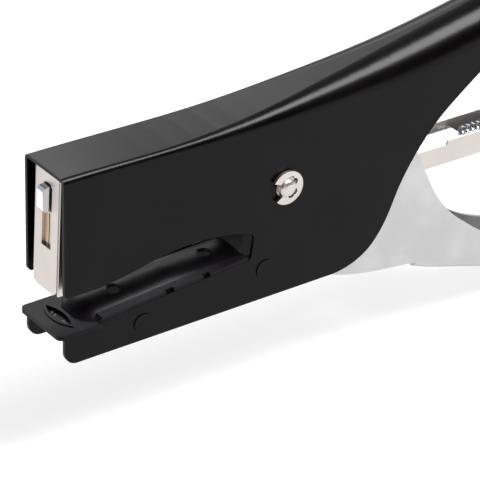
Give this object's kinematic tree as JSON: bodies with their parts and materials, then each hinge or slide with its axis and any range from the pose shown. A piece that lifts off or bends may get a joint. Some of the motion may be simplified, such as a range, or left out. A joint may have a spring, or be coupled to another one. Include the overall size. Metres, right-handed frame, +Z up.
{
  "type": "plier stapler",
  "caption": "Hand-held plier stapler: a folded steel head with a fixed lower jaw and anvil, a tilting magazine, a sprung squeeze handle, a driver blade and a pull-out loader.",
  "frame": {"origin": "middle of the base of the overall box, midway across the tool", "axes": "+X along the tool from the front plate to the handles' ends, +Z up from the lower handle to the upper handle, Y across the tool"},
  "size_m": [0.1794, 0.0224, 0.096],
  "materials": {
    "black_steel": "satin black enamel",
    "anvil_steel": "smooth dark oxide, semi-matte",
    "nickel": "nickel plated, softly bright",
    "bright_steel": "polished plating",
    "handle_chrome": "satin chrome plating",
    "spring_steel": "drawn wire",
    "staple_wire": "galvanised wire, glued in strips"
  },
  "bodies": {
    "frame": {"body_shell": "black_steel", "anvil_plate": "anvil_steel", "anvil_rivets": "black_steel", "pivot_shaft": "nickel", "retaining_ring": "nickel", "side_washers": "nickel"},
    "lever": {"lower_handle": "handle_chrome", "drive_arm": "bright_steel", "drive_pin": "nickel", "arm_spacers": "nickel", "return_spring": "spring_steel"},
    "magazine": {"magazine_rail": "nickel", "magazine_head": "nickel", "front_plate": "nickel", "magazine_bracket": "nickel", "staple_strips": "staple_wire"},
    "driver": {"driver_blade": "bright_steel"},
    "loader": {"guide_rod": "bright_steel", "rod_catch": "nickel", "pusher_spring": "spring_steel"},
    "pusher": {"pusher": "nickel"}
  },
  "joints": [
    {"name": "lever_squeeze", "type": "hinge", "parent": "frame", "child": "lever", "pos_m": [-0.01985, 0, 0.05901], "axis": [0, -1, 0], "range_deg": [0, 15], "stiffness_Nm_per_rad": 0.6, "springref_deg": -20.05, "deforming": ["return_spring"]},
    {"name": "magazine_tilt", "type": "hinge", "parent": "frame", "child": "magazine", "pos_m": [-0.01985, 0, 0.05901], "axis": [0, -1, 0], "range_deg": [0, 6.2]},
    {"name": "driver_stroke", "type": "slide", "parent": "magazine", "child": "driver", "axis": [-0.0401, 0, -0.9992], "range_m": [0, 0.0104]},
    {"name": "loader_pull", "type": "slide", "parent": "magazine", "child": "loader", "axis": [0.9998, 0, -0.0175], "range_m": [0, 0.028]},
    {"name": "pusher_slide", "type": "slide", "parent": "loader", "child": "pusher", "axis": [0.9998, 0, -0.0175], "range_m": [0, 0.011], "stiffness_N_per_m": 60, "springref_m": -0.03, "deforming": ["pusher_spring"]}
  ],
  "couplings": [
    {"joint": "magazine_tilt", "follows": "lever_squeeze", "ratio": 0.4067},
    {"joint": "driver_stroke", "follows": "lever_squeeze", "m_per_rad": 0.03934}
  ]
}
